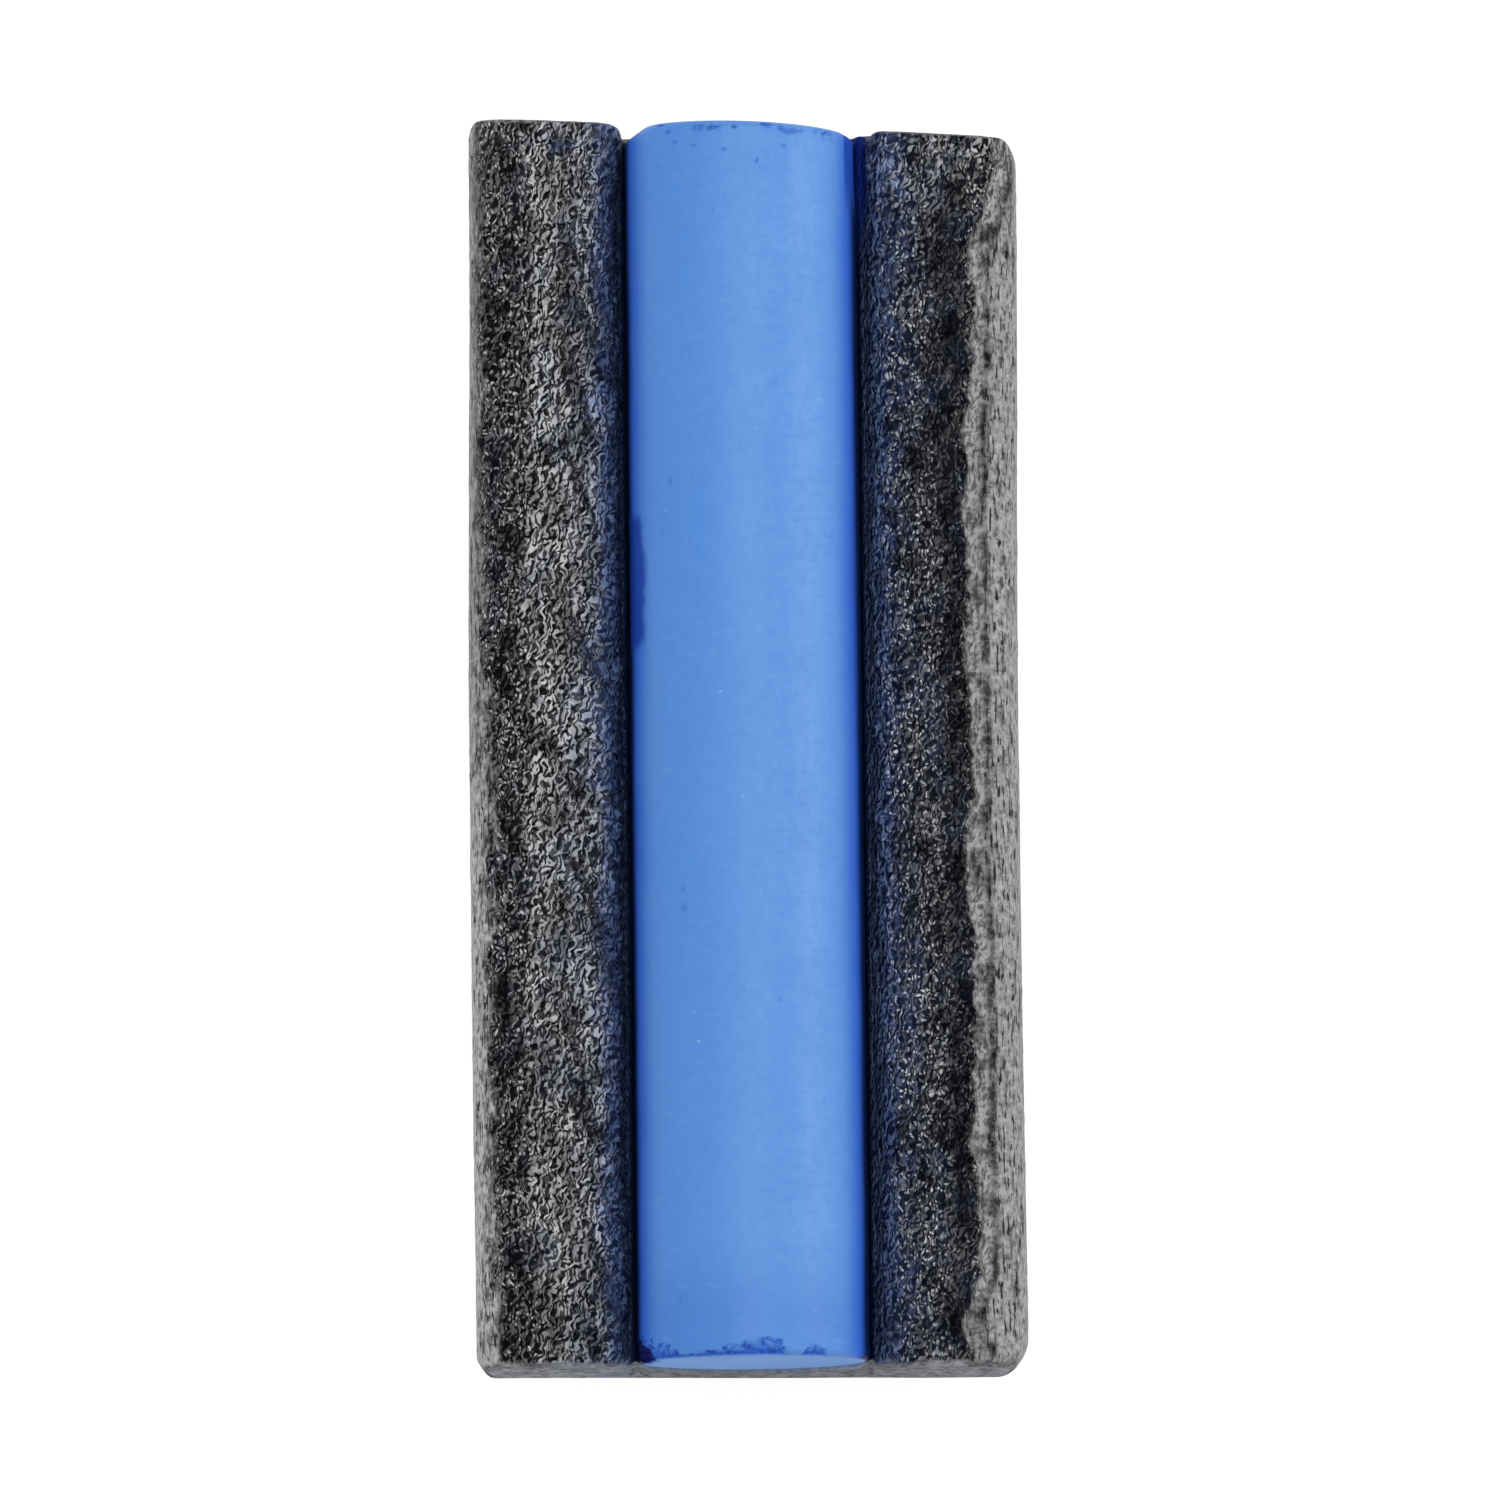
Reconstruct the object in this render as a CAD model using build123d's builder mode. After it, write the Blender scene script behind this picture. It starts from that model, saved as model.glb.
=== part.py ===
from build123d import *

import math
import os

# A round blue chalk stick pressed into the groove of its black foam holder.
#
# Frame: +Z up, origin on the underside of the holder, in the middle of its box.
# The stick and the groove run along Y, and the holder lies flat on Z = 0.
# "Far" is +Y, "near" is -Y, "left" is -X and "right" is +X. Millimetres.

# ---- chalk stick -----------------------------------------------------------
stick_d = 12.0  # diameter
stick_near_y = -32.2  # near end, cut square
stick_far_y = 31.45  # far end, measured on the axis
stick_far_cut_deg = 2.0  # the far end is cut a little out of square, longer at left
stick_rim_r = 0.4  # both rims are rubbed round

# ---- foam holder -----------------------------------------------------------
floor_t = 5.0  # foam left under the stick
half_w = 14.42  # half the width, at the bulge of the sides
foot_half_w = 14.1  # half the width at the underside
bulge_z = 5.2  # height of the widest point
shoulder_x, shoulder_z = 14.2, 10.0  # where a side starts to roll over
ridge_x, ridge_z = 12.3, 12.25  # outer edge of each cheek's flat top
lip_r = 0.9  # rounding where the cheek's top turns into the groove
ridge_r = 0.8  # softening of that outer edge
foot_r = 0.6  # rounding along the underside
end_r = 0.6  # rounding round the two end faces

# Ends as cut by hand: the far end slants, the near end is nearly square.
far_left_y, far_right_y = 32.5, 31.25
near_left_y, near_right_y = -32.18, -32.48

# ---- worked out from those -------------------------------------------------
stick_r = stick_d / 2
axis_z = floor_t + stick_r
far_cut = math.radians(stick_far_cut_deg)

os.makedirs("parts", exist_ok=True)

# ---- the stick: one extruded round bar, its far end trimmed on the slant ---
with BuildPart() as chalk_stick:
    with BuildSketch(Plane.XZ.offset(-(stick_far_y + 2.0))):
        with Locations((0, axis_z)):
            Circle(stick_r)
    extrude(amount=stick_far_y + 2.0 - stick_near_y)
    split(
        bisect_by=Plane(
            origin=(0, stick_far_y, axis_z),
            z_dir=(math.sin(far_cut), math.cos(far_cut), 0),
        ),
        keep=Keep.BOTTOM,
    )
    rims = chalk_stick.edges().filter_by(GeomType.LINE, reverse=True)
    fillet(rims, stick_rim_r)

chalk_stick.part.label = "chalk_stick"

# ---- the holder: one bar of foam, grooved along its length -----------------
with BuildPart() as foam_holder:
    with BuildSketch(Plane.XZ.offset(-40)) as section:
        with BuildLine():
            Line((0, 0), (foot_half_w, 0))
            side = ThreePointArc(
                (foot_half_w, 0), (half_w, bulge_z), (shoulder_x, shoulder_z)
            )
            TangentArc((shoulder_x, shoulder_z), (ridge_x, ridge_z), tangent=side % 1)
            Line((ridge_x, ridge_z), (0, ridge_z))
            mirror(about=Plane.YZ)
        make_face()
        with Locations((0, axis_z)):
            Circle(stick_r, mode=Mode.SUBTRACT)
        # in the sketch's own plane, Y is the height
        corners = section.sketch_local.vertices()
        lips = [v for v in corners if abs(v.X) < stick_r + 0.5 and v.Y > floor_t + 2]
        feet = [v for v in corners if abs(v.X) > foot_half_w - 0.1 and v.Y < 0.1]
        ridges = [v for v in corners if abs(abs(v.X) - ridge_x) < 0.1]
        print("section corners: lips", len(lips), "feet", len(feet), "ridges", len(ridges))
        fillet(lips, lip_r)
        fillet(feet, foot_r)
        fillet(ridges, ridge_r)
    extrude(amount=80)

    # the two end cuts
    slant = (far_left_y - far_right_y) / (2 * half_w)
    split(
        bisect_by=Plane(
            origin=(0, (far_left_y + far_right_y) / 2, 0), z_dir=(slant, 1, 0)
        ),
        keep=Keep.BOTTOM,
    )
    skew = (near_left_y - near_right_y) / (2 * half_w)
    split(
        bisect_by=Plane(
            origin=(0, (near_left_y + near_right_y) / 2, 0), z_dir=(-skew, -1, 0)
        ),
        keep=Keep.BOTTOM,
    )
    ends = foam_holder.faces().sort_by(Axis.Y)
    fillet(ends[0].edges() + ends[-1].edges(), end_r)

foam_holder.part.label = "foam_holder"

for name, made in (("chalk_stick", chalk_stick), ("foam_holder", foam_holder)):
    box = made.part.bounding_box()
    print(name, "volume", round(made.part.volume, 1), "box", box.min, box.max)

export_step(chalk_stick.part, "parts/chalk_stick.step")
export_step(foam_holder.part, "parts/foam_holder.step")
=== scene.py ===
import math

import bpy
import numpy as np
from mathutils import Matrix, Vector
from mathutils.geometry import delaunay_2d_cdt


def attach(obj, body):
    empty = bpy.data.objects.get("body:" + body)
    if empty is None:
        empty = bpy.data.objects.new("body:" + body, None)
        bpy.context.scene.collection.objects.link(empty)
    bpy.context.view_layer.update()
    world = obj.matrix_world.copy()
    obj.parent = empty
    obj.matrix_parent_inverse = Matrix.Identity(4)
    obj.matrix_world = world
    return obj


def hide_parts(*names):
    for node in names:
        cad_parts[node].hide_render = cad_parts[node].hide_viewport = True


# A round blue chalk stick seated in a grooved bar of black foam.
# Lengths below are millimetres in the object's frame, and become metres when a mesh is made.
# X runs across the holder, Y along the stick (far end at +Y), Z up.

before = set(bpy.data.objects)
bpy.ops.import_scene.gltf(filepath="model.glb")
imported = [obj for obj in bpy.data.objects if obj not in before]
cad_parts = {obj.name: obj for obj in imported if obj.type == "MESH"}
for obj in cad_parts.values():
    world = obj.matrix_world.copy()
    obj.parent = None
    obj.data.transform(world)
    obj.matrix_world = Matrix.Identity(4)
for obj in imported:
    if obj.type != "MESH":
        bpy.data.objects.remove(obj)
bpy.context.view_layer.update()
MM = 0.001

STICK_R = 6.0
AXIS_Z = 11.0
STICK_NEAR_Y = -32.2
STICK_FAR_Y = 31.45
FAR_CUT = math.tan(math.radians(2.0))


# --------------------------------------------------------------------------
# seeded noise on plain arrays
# --------------------------------------------------------------------------
def smooth(a, b, x):
    t = np.clip((np.asarray(x, float) - a) / (b - a), 0.0, 1.0)
    return t * t * (3 - 2 * t)


def value_noise(u, v, seed, wrap=512):
    """Smooth noise of one unit's wavelength, 0 to 1."""
    table = np.random.RandomState(seed).rand(wrap, wrap)
    u, v = np.asarray(u, float), np.asarray(v, float)
    i, j = np.floor(u).astype(int), np.floor(v).astype(int)
    fu, fv = u - i, v - j
    fu, fv = fu**3 * (fu * (6 * fu - 15) + 10), fv**3 * (fv * (6 * fv - 15) + 10)
    i0, i1, j0, j1 = i % wrap, (i + 1) % wrap, j % wrap, (j + 1) % wrap
    a = table[i0, j0] * (1 - fu) + table[i1, j0] * fu
    b = table[i0, j1] * (1 - fu) + table[i1, j1] * fu
    return a * (1 - fv) + b * fv


def fbm(u, v, seed, octaves=4, gain=0.5):
    total, amp, out = 0.0, 1.0, 0.0
    for k in range(octaves):
        out = out + amp * value_noise(u * 2**k + 17.3 * k, v * 2**k - 9.1 * k, seed + k)
        total += amp
        amp *= gain
    return out / total


def cells(u, v, seed, wrap=256):
    """Nearest and second-nearest distance to one jittered point per unit square, and a random number of the nearest."""
    rnd = np.random.RandomState(seed)
    px, py, val = rnd.rand(wrap, wrap), rnd.rand(wrap, wrap), rnd.rand(wrap, wrap)
    u, v = np.asarray(u, float), np.asarray(v, float)
    i, j = np.floor(u).astype(int), np.floor(v).astype(int)
    f1 = np.full(u.shape, 9.0)
    f2 = np.full(u.shape, 9.0)
    own = np.zeros(u.shape)
    for di in (-1, 0, 1):
        for dj in (-1, 0, 1):
            a, b = (i + di) % wrap, (j + dj) % wrap
            d = np.hypot(i + di + px[a, b] - u, j + dj + py[a, b] - v)
            near = d < f1
            f2 = np.where(near, f1, np.minimum(f2, d))
            own = np.where(near, val[a, b], own)
            f1 = np.where(near, d, f1)
    return f1, f2, own


# --------------------------------------------------------------------------
# foam holder: section, swept grid, cut cells, skin
# --------------------------------------------------------------------------
def far_y(x):
    return 31.875 - 1.25 / 28.6 * x


def near_y(x):
    return -32.36 - 0.30 / 28.6 * x


def drawn_in(x, z, far):
    """How far the cheeks' inner corners, rounded in plan, stand back from an end."""
    x, z = np.asarray(x, float), np.asarray(z, float)
    radius = np.where(x > 0, 0.40, 0.30) if far else np.where(x > 0, 0.40, 0.30)
    start = np.where(x > 0, 6.52, 6.2) if far else 6.2
    d = np.clip(radius - (np.abs(x) - start), 0, radius)
    back = (radius - np.sqrt(radius**2 - d**2)) * smooth(5.3, 6.1, np.abs(x)) * smooth(0.2, 2.5, z)
    if far:  # blue has filled the far right corner of the groove
        back = back * np.where(x > 0, 0.15 + 0.85 * smooth(6.25, 6.52, x), 1.0)
        # and at the left the groove's edge is torn back behind the stick's end
        back = back + 0.40 * (x < 0) * smooth(6.5, 6.25, -x) * smooth(4.9, 5.5, -x) * smooth(7.0, 8.4, z)
    return back


def section_curve():
    """Closed section, from the middle of the underside round by the right. Returns fine points and arc lengths of the corners between zones."""
    right_out = [(0, 0), (13.3, 0), (13.9, 0.2), (14.14, 0.9), (14.24, 3.0), (14.29, 5.2), (14.25, 7.2), (14.14, 8.8)]
    right_top = [(14.0, 9.8), (13.7, 10.55), (13.2, 11.1), (12.5, 11.45), (11.7, 11.62), (11.0, 11.7), (10.0, 11.92), (9.0, 12.08),
                 (8.0, 12.1), (7.3, 12.0), (6.85, 11.65), (6.55, 11.0), (6.36, 10.1)]
    groove = []
    for deg in np.linspace(96.0, 264.0, 60):
        a = math.radians(deg)
        groove.append((6.02 * math.sin(a), AXIS_Z + 6.02 * math.cos(a)))
    left_top = [(-6.36, 10.1), (-6.52, 11.0), (-6.75, 11.6), (-7.15, 11.98), (-8.0, 12.1), (-9.5, 12.14), (-10.8, 12.14), (-12.0, 12.0),
                (-12.8, 11.72), (-13.4, 11.25), (-13.8, 10.6), (-14.02, 9.8)]
    left_out = [(-14.14, 8.8), (-14.25, 7.2), (-14.29, 5.2), (-14.24, 3.0), (-14.14, 0.9), (-13.9, 0.2), (-13.3, 0), (0, 0)]
    pts, marks = [], {}
    for name, part in (("right_out", right_out), ("right_top", right_top), ("groove", groove), ("left_top", left_top), ("left_out", left_out)):
        marks[name] = len(pts)
        pts += part
    pts = np.array(pts, float)
    # fine points along the control polygon, softened so that no corner of it shows
    seg = np.hypot(*np.diff(pts, axis=0).T)
    at = np.r_[0, np.cumsum(seg)]
    fine_s = np.arange(0, at[-1], 0.02)
    fine = np.stack([np.interp(fine_s, at, pts[:, k]) for k in (0, 1)], 1)
    kernel = np.exp(-0.5 * (np.arange(-60, 61) * 0.02 / 0.33) ** 2)
    kernel /= kernel.sum()
    wrapped = np.concatenate([fine[-60:], fine, fine[:60]])
    fine = np.stack([np.convolve(wrapped[:, k], kernel, "valid") for k in (0, 1)], 1)
    fine[:, 1] = np.maximum(fine[:, 1], 0.0)
    return fine_s, fine, {k: at[i] for k, i in marks.items()}, at[-1]


def columns():
    """Section samples: place, arc length and row level (0 every row, 1 every second, 2 every fourth)."""
    fine_s, fine, mark, total = section_curve()
    lip_r = mark["groove"]
    lip_l = mark["left_top"]
    spacing = np.empty_like(fine_s)
    level = np.zeros(len(fine_s), int)
    for k, s in enumerate(fine_s):
        if s < 13.2 or s > total - 13.2:
            spacing[k], level[k] = 1.3, 2
        elif s < mark["right_top"] or s > mark["left_out"]:
            spacing[k], level[k] = 0.27, 1
        elif lip_r + 1.6 < s < lip_l - 1.6:
            spacing[k], level[k] = 1.1, 2
        elif lip_r - 0.2 < s < lip_l + 0.2:
            spacing[k], level[k] = 0.3, 1
        else:
            spacing[k], level[k] = 0.131, 0
    pos = np.cumsum(0.02 / spacing)
    count = int(round(pos[-1]))
    s_at = np.interp(np.arange(count) * pos[-1] / count, pos, fine_s)
    xy = np.stack([np.interp(s_at, fine_s, fine[:, k]) for k in (0, 1)], 1)
    lev = level[np.clip(np.searchsorted(fine_s, s_at), 0, len(level) - 1)]
    # neighbouring columns never differ by more than one level
    for _ in range(3):
        for k in range(count):
            lev[k] = min(lev[k], min(lev[k - 1], lev[(k + 1) % count]) + 1)
    # outward normal of the section
    t = np.roll(xy, -1, 0) - np.roll(xy, 1, 0)
    n = np.stack([t[:, 1], -t[:, 0]], 1)
    n /= np.linalg.norm(n, axis=1)[:, None]
    return s_at, xy, n, lev


RIM = 8  # row steps round an end's edge
ROWS = 440  # row steps between them


def foam_mesh():
    s_at, xy, nrm, lev = columns()
    cols = len(s_at)
    last = ROWS + 2 * RIM
    x, z = xy[:, 0], xy[:, 1]

    # how round each end's edge is, column by column
    upright = smooth(0.30, 0.95, np.abs(nrm[:, 0])) * (np.abs(x) > 12.0)
    r_far = 0.45 - 0.30 * upright
    r_near = 0.50 - 0.35 * upright + 0.5 * smooth(7.0, 12.0, x) * smooth(0.5, 0.9, nrm[:, 1])
    inside = (np.abs(x) < 6.4) & (z < 11.2) & (z > 1.0)
    r_far[inside] = 0.3
    r_near[inside] = 0.12
    under = (z < 0.1) & (upright < 0.01)
    r_far[under] = 0.3
    r_near[under] = 0.3
    kernel = np.ones(5) / 5
    for r in (r_far, r_near):
        r[:] = np.convolve(np.r_[r[-2:], r, r[:2]], kernel, "valid")

    in_far, in_near = drawn_in(x, z, True), drawn_in(x, z, False)

    index = -np.ones((cols, last + 1), int)
    base, s_of, skinless = [], [], []
    v_count = 0
    grid_c, grid_r = [], []
    for c in range(cols):
        rows = np.arange(0, last + 1, 2 ** lev[c])
        index[c, rows] = np.arange(v_count, v_count + len(rows))
        v_count += len(rows)
        near_phi = np.clip(rows / RIM, 0, 1) * math.pi / 2
        far_phi = np.clip((last - rows) / RIM, 0, 1) * math.pi / 2
        v = np.clip((rows - RIM) / ROWS, 0, 1)
        inset = r_near[c] * (1 - np.sin(near_phi)) + r_far[c] * (1 - np.sin(far_phi))
        px = x[c] - nrm[c, 0] * inset
        pz = z[c] - nrm[c, 1] * inset
        lo, hi = near_y(x[c]) + in_near[c], far_y(x[c]) - in_far[c]
        y0 = lo + r_near[c] * (1 - np.cos(near_phi))
        y1 = hi - r_far[c] * (1 - np.cos(far_phi))
        lo, hi = lo + r_near[c], hi - r_far[c]
        py = np.where(rows < RIM, y0, np.where(rows > last - RIM, y1, lo + (hi - lo) * v))
        base.append(np.stack([px, py, np.maximum(pz, 0.0)], 1))
        s_of.append(np.full(len(rows), s_at[c]))
        grid_c.append(np.full(len(rows), c))
        grid_r.append(rows)
    base = np.concatenate(base)
    s_of = np.concatenate(s_of)
    grid_c = np.concatenate(grid_c)
    grid_r = np.concatenate(grid_r)

    faces = []
    for c in range(cols):
        d = (c + 1) % cols
        la, lb = lev[c], lev[d]
        step = 2 ** max(la, lb)
        for r in range(0, last, step):
            a0, a1 = index[c, r], index[c, r + step]
            b0, b1 = index[d, r], index[d, r + step]
            if la == lb:
                faces.append((a0, b0, b1, a1))
            elif la < lb:
                m = index[c, r + step // 2]
                faces += [(a0, b0, m), (m, b0, b1), (m, b1, a1)]
            else:
                m = index[d, r + step // 2]
                faces += [(a0, b0, m), (a0, m, a1), (m, b1, a1)]

    # end faces, filled with an even scatter of points
    rnd = np.random.RandomState(5)
    caps = []
    for row, y_of, flip in ((0, near_y, False), (last, far_y, True)):
        ring = [int(index[c, row]) for c in range(cols)]
        loop = [Vector((base[i, 0], base[i, 2])) for i in ring]
        poly = np.array(loop)
        gx, gz = np.meshgrid(np.arange(-14.2, 14.2, 0.42), np.arange(0.15, 12.4, 0.42))
        gx, gz = gx.ravel() + rnd.uniform(-0.12, 0.12, gx.size), gz.ravel() + rnd.uniform(-0.12, 0.12, gx.size)
        keep = inside_polygon(gx, gz, poly)
        d = np.full(gx.shape, 9.0)
        for p in poly:
            d = np.minimum(d, np.hypot(gx - p[0], gz - p[1]))
        keep &= d > 0.22
        more = [Vector((a, b)) for a, b in zip(gx[keep], gz[keep])]
        n = len(loop)
        out = delaunay_2d_cdt(loop + more, [(k, (k + 1) % n) for k in range(n)], [], 1, 1e-6)
        verts2, _, tris, orig = out[0], out[1], out[2], out[3]
        name = {}
        for k, p in enumerate(verts2):
            src = [o for o in orig[k] if o < n]
            if src:
                name[k] = ring[src[0]]
            else:
                name[k] = v_count
                v_count += 1
                caps.append((p[0], y_of(p[0]) + (-1 if flip else 1) * float(drawn_in(p[0], p[1], flip)), p[1]))
        for t in tris:
            t = [name[k] for k in t]
            faces.append(tuple(t if flip else t[::-1]))
    caps = np.array(caps)
    count = len(base)
    pts = round_corners(np.concatenate([base, caps]))
    return pts, faces, dict(count=count, s=s_of, c=grid_c, r=grid_r, last=last)


def round_corners(pts):
    """Draw the four corners of the plan in to arcs."""
    pts = pts.copy()
    half = 14.29
    for side, far, r in ((1, False, 1.75), (-1, False, 0.90), (1, True, 1.05), (-1, True, 0.50)):
        x, y = pts[:, 0], pts[:, 1]
        way = 1 if far else -1
        end_at = far_y if far else near_y
        u = (side * x - half) / r + 1
        v = way * (y - end_at(x)) / r + 1
        m = (u > 0) & (v > 0)
        u, v = np.clip(u[m], 0, 1), np.clip(v[m], 0, 1)
        pts[m, 0] = side * (half + (u * np.sqrt(1 - v * v / 2) - 1) * r)
        pts[m, 1] = end_at(pts[m, 0]) + way * (v * np.sqrt(1 - u * u / 2) - 1) * r
    return pts


def inside_polygon(px, pz, poly):
    hit = np.zeros(px.shape, bool)
    n = len(poly)
    for k in range(n):
        (x0, z0), (x1, z1) = poly[k], poly[(k + 1) % n]
        cross = (z0 > pz) != (z1 > pz)
        with np.errstate(divide="ignore", invalid="ignore"):
            at = (x1 - x0) * (pz - z0) / (z1 - z0) + x0
        hit ^= cross & (px < at)
    return hit


def make_object(name, pts, faces, attributes):
    me = bpy.data.meshes.new(name)
    me.from_pydata((pts * MM).tolist(), [], [list(map(int, f)) for f in faces])
    me.validate()
    me.update()
    for key, values in attributes.items():
        a = me.attributes.new(key, "FLOAT", "POINT")
        a.data.foreach_set("value", np.asarray(values, np.float32))
    me.polygons.foreach_set("use_smooth", np.ones(len(me.polygons), bool))
    me.update()
    ob = bpy.data.objects.new(name, me)
    bpy.context.scene.collection.objects.link(ob)
    return ob


def normals_of(pts, faces):
    """Vertex normals of the undisplaced mesh."""
    me = bpy.data.meshes.new("scratch")
    me.from_pydata(pts.tolist(), [], [list(map(int, f)) for f in faces])
    me.update()
    out = np.empty(len(pts) * 3)
    me.vertices.foreach_get("normal", out)
    bpy.data.meshes.remove(me)
    return out.reshape(-1, 3)


# dents and tears that stand out along the bar: x, y, half width, half length, depth
DENTS = (
    (-12.8, 20.3, 0.55, 0.75, 0.22), (-11.1, -27.2, 1.05, 2.1, 0.34), (-12.2, 5.1, 0.55, 0.95, 0.34),
    (-12.5, 13.0, 0.5, 1.3, 0.28), (-12.1, -3.6, 0.55, 1.4, 0.28), (-11.9, 10.2, 0.7, 0.9, 0.30), (-12.4, -14.0, 0.5, 1.6, 0.26),
    (10.4, 27.4, 1.3, 1.4, 0.30), (10.9, 20.5, 0.6, 2.6, 0.26), (10.9, -24.6, 0.55, 0.7, 0.30), (10.3, -29.2, 0.8, 0.9, 0.26),
    (9.2, 15.0, 0.8, 1.8, 0.20), (-9.4, -8.2, 0.45, 0.6, 0.22),
)


def build_foam():
    pts, faces, info = foam_mesh()
    nrm = normals_of(pts, faces)
    n = info["count"]
    total = len(pts)
    x, y, z = pts.T
    s = np.zeros(total)
    s[:n] = info["s"]
    s[n:] = x[n:] * 0.7 + 40 + z[n:]
    end = smooth(0.55, 0.9, np.abs(nrm[:, 1]))
    end_look = smooth(0.45, 0.9, np.abs(nrm[:, 1]) + 0.6 * (fbm(x / 0.5, (y + z) / 0.35, 97, 3) - 0.5) * smooth(0.2, 0.5, np.abs(nrm[:, 1])))
    right = (x > 0).astype(float)
    in_groove = ((np.abs(x) < 6.15) & (z < 10.6) & (z > 1.0) & (end < 0.5)).astype(float)
    lip = smooth(10.0, 11.2, z) * smooth(5.9, 6.7, np.abs(x))
    bottom = smooth(0.5, 0.05, z)

    # where the cut top ends and the smooth skin begins: a wandering line on each side
    wander = fbm(y / 2.6, 0 * y + 3.0, 11, 4) - 0.5
    line_r = 11.62 + 0.70 * wander - 0.75 * np.exp(-(((y + 30.0) / 1.6) ** 2)) + 1.5 * smooth(24.0, 30.0, y)
    edge_r = line_r + 0.75 * (fbm(y / 0.6, s / 0.6, 12, 4, 0.6) - 0.5)
    edge_l = 13.25 + 0.5 * smooth(-10.0, 16.0, y) + 0.8 * (fbm(y / 3.1, 0 * y + 8.0, 13, 4) - 0.5) + 1.7 * (fbm(y / 0.9, s / 0.45, 14, 4, 0.6) - 0.5)
    skin = np.where(x > 0, smooth(-0.14, 0.14, x - edge_r), smooth(-0.35, 0.35, -x - edge_l))
    skin = np.maximum(skin, smooth(10.0, 8.8, z))
    skin = np.clip(np.maximum(skin, end), 0, 1)
    cut = (1 - skin) * lip * (1 - in_groove) * (1 - bottom)

    # cells laid open by the cut: crumpled, longer along the bar, some burst into pits
    wu = s + 0.34 * (fbm(s / 0.9, y / 1.2, 21, 3) - 0.5)
    wv = y + 0.44 * (fbm(s / 0.9, y / 1.2, 31, 3) - 0.5)
    f1, f2, own = cells(wu / 0.40 + 200, wv / 0.54 + 200, 41)
    g1, g2, big = cells(wu / 1.15 + 90, wv / 1.7 + 90, 43)
    patch = fbm(s / 1.9, y / 3.2, 51, 3)
    dark_zone = np.where(x > 0, np.exp(-(((x - 10.75 + 0.25 * smooth(4, 14, y)) / (0.62 + 0.3 * smooth(4, 14, y))) ** 2)), np.exp(-(((x + 12.35) / 0.80) ** 2)))
    open_chance = 0.10 + 0.30 * dark_zone + 0.40 * smooth(0.55, 0.72, patch)
    dome = 1 - smooth(0.05, 0.72, f1)
    crease = 1 - smooth(0.0, 0.22, f2 - f1)
    burst = (own < open_chance).astype(float) * (1 - smooth(0.25, 0.75, f1))
    hollow = smooth(0.66, 0.9, big + 0.30 * dark_zone) * (1 - smooth(0.2, 0.62, g1))
    dent = np.zeros(total)
    dent_depth = np.zeros(total)
    ragged = 2.2 * (fbm(s / 0.9, y / 1.2, 55, 4, 0.6) - 0.5)
    for dx, dy, rx, ry, depth in DENTS:
        d = np.hypot((x - dx) / rx, (y - dy) / ry) + ragged
        here = 1 - smooth(0.35, 1.15, d)
        dent = np.maximum(dent, here)
        dent_depth = np.maximum(dent_depth, 0.7 * here * depth)
    dome_high = np.where(x > 0, 0.035, 0.045)
    h_cut = dome_high * dome * (0.35 + own) * (1 - 0.7 * dent) - 0.03 * crease - 0.12 * burst - 0.20 * hollow - dent_depth
    h_cut += 0.09 * (fbm(s / 0.40, y / 0.55, 61, 2) - 0.5)
    lump = 0.30 * (fbm(s / 2.4, y / 4.5, 71, 3) - 0.5)
    lump_small = 0.16 * (fbm(s / 0.9, y / 1.4, 73, 2) - 0.5)

    # skin: faint lengthwise folds, short slits, and a lobed bead along the right edge
    slit = smooth(0.68, 0.77, fbm(s / 0.26, y / 1.3, 81, 3))
    fold = 0.06 * (fbm(s / 0.55, y / 6.0, 83, 3) - 0.5) + 0.03 * (fbm(s / 0.8, y / 1.0, 85, 2) - 0.5) * lip
    lobes = fbm(y / 1.05, 0 * y + 5.0, 91, 2)
    away = smooth(0.2, 1.8, far_y(x) - y) * smooth(0.2, 1.2, y - near_y(x))
    # the bead's mask also sets a tone with painted emboss light in the skin's colour
    bead = np.exp(-(((x - line_r - 0.38) / 0.42) ** 4)) * right * away * smooth(9.0, 11.0, z) * (0.35 + 0.9 * lobes)
    # the gutter's mask also carries painted shade into the skin's colour
    gutter = np.exp(-(((x - line_r - 0.92 + 0.35 * wander) / 0.16) ** 2)) * right * away * smooth(9.0, 10.6, z)
    gutter *= 0.40 + 0.75 * smooth(0.35, 0.60, fbm(y / 1.1, s / 3.0, 93, 2))
    trench = np.exp(-(((x - edge_r + 0.34) / 0.34) ** 2)) * right * away * smooth(10.5, 11.3, z) * (0.5 + 0.9 * fbm(y / 0.9, s / 2.0, 94, 2))
    notched = np.exp(-(((x - line_r - 0.42) / 0.42) ** 2)) * right * away * smooth(9.0, 11.0, z) * smooth(0.44, 0.34, lobes)
    h_skin = (fold - 0.10 * slit) * (0.2 + 0.8 * smooth(8.8, 10.4, z)) + 0.20 * bead - 0.11 * gutter - 0.10 * notched
    # ends: torn a little, with fine streaks that run across
    h_end = 0.10 * (fbm(x / 2.2, z / 0.28, 95, 3) - 0.5)

    wall = (1 - in_groove) * (1 - bottom)
    calm = 0.15 + 0.85 * smooth(0.05, 1.0, far_y(x) - y)
    h = cut * calm * (h_cut + lump_small - 0.16 * trench) + skin * (1 - end) * wall * h_skin + end * h_end * (1 - bottom) * 0.6
    h += lump * wall * (1 - end) * (0.08 + 0.92 * lip)
    h = np.where(bottom > 0.99, 0.0, h)
    out = pts + nrm * h[:, None]
    # the bar bows a little to the left in the middle of its length
    out[:, 0] += (-0.13 + 0.25 * smooth(2.0, 29.0, y) + 0.08 * smooth(-12.0, -32.0, y)) * smooth(6.6, 9.5, np.abs(x))
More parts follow.
